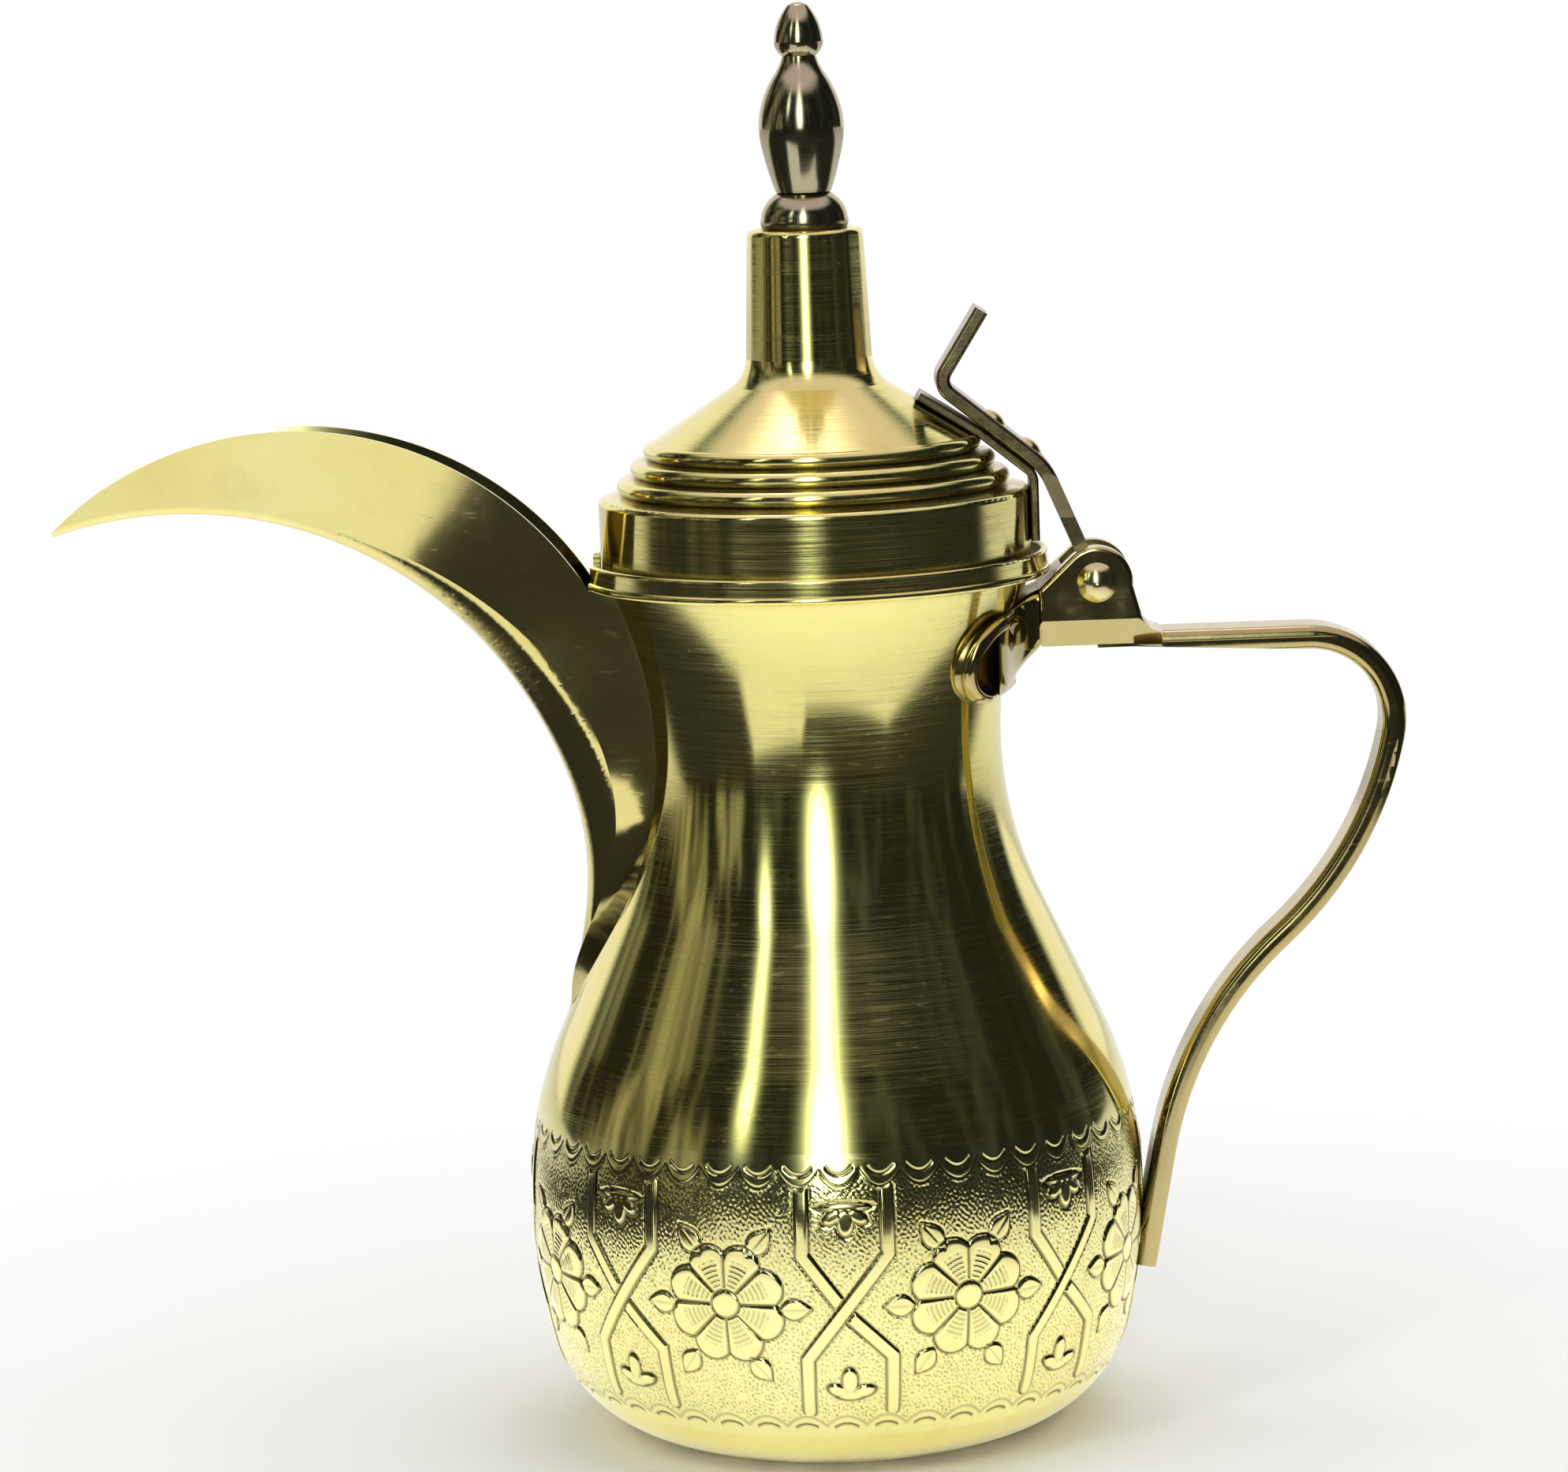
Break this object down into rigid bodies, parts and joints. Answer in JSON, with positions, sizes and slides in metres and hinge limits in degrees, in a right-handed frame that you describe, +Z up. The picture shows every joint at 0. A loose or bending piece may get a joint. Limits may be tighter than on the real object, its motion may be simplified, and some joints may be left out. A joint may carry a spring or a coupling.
{
  "type": "coffee pot",
  "caption": "Brass dallah coffee pot: waisted spun body with chased floral band, open crescent spout, bent bar handle and domed lid with finial that hinges back by a riveted thumb lever.",
  "frame": {"origin": "centre of the base's underside, on the floor", "axes": "+Z up along the pot's axis, -X towards the spout's tip, +X towards the handle; the hinge pin runs along Y"},
  "size_m": [0.2819, 0.1298, 0.2998],
  "materials": {
    "spun_brass": "spun and polished, matted ornament band",
    "collar_brass": "polished rim",
    "sheet_brass": "raised sheet, polished",
    "cast_brass": "cast, filed and worn, tarnished in the corners",
    "lid_brass": "spun, fine lathe marks",
    "turned_brass": "turned and polished",
    "rivet_brass": "peened, worn",
    "inner_brass": "plain turned stock"
  },
  "bodies": {
    "pot": {"body_shell": "spun_brass", "base_plate": "spun_brass", "neck_collar": "collar_brass", "spout": "sheet_brass", "handle_socket": "cast_brass", "handle": "cast_brass", "hinge_pin": "rivet_brass"},
    "lid": {"lid_shell": "lid_brass", "lid_strap": "cast_brass", "lid_lever": "cast_brass", "lever_rivet_upper": "rivet_brass", "lever_rivet_lower": "rivet_brass", "finial_bead": "turned_brass", "finial_baluster": "turned_brass", "finial_tip": "turned_brass", "finial_stud": "inner_brass", "finial_washer": "inner_brass", "finial_nut": "inner_brass"}
  },
  "joints": [
    {"name": "lid_hinge", "type": "hinge", "parent": "pot", "child": "lid", "pos_m": [0.0582, 0, 0.1782], "axis": [0, 1, 0], "range_deg": [0, 115]}
  ]
}
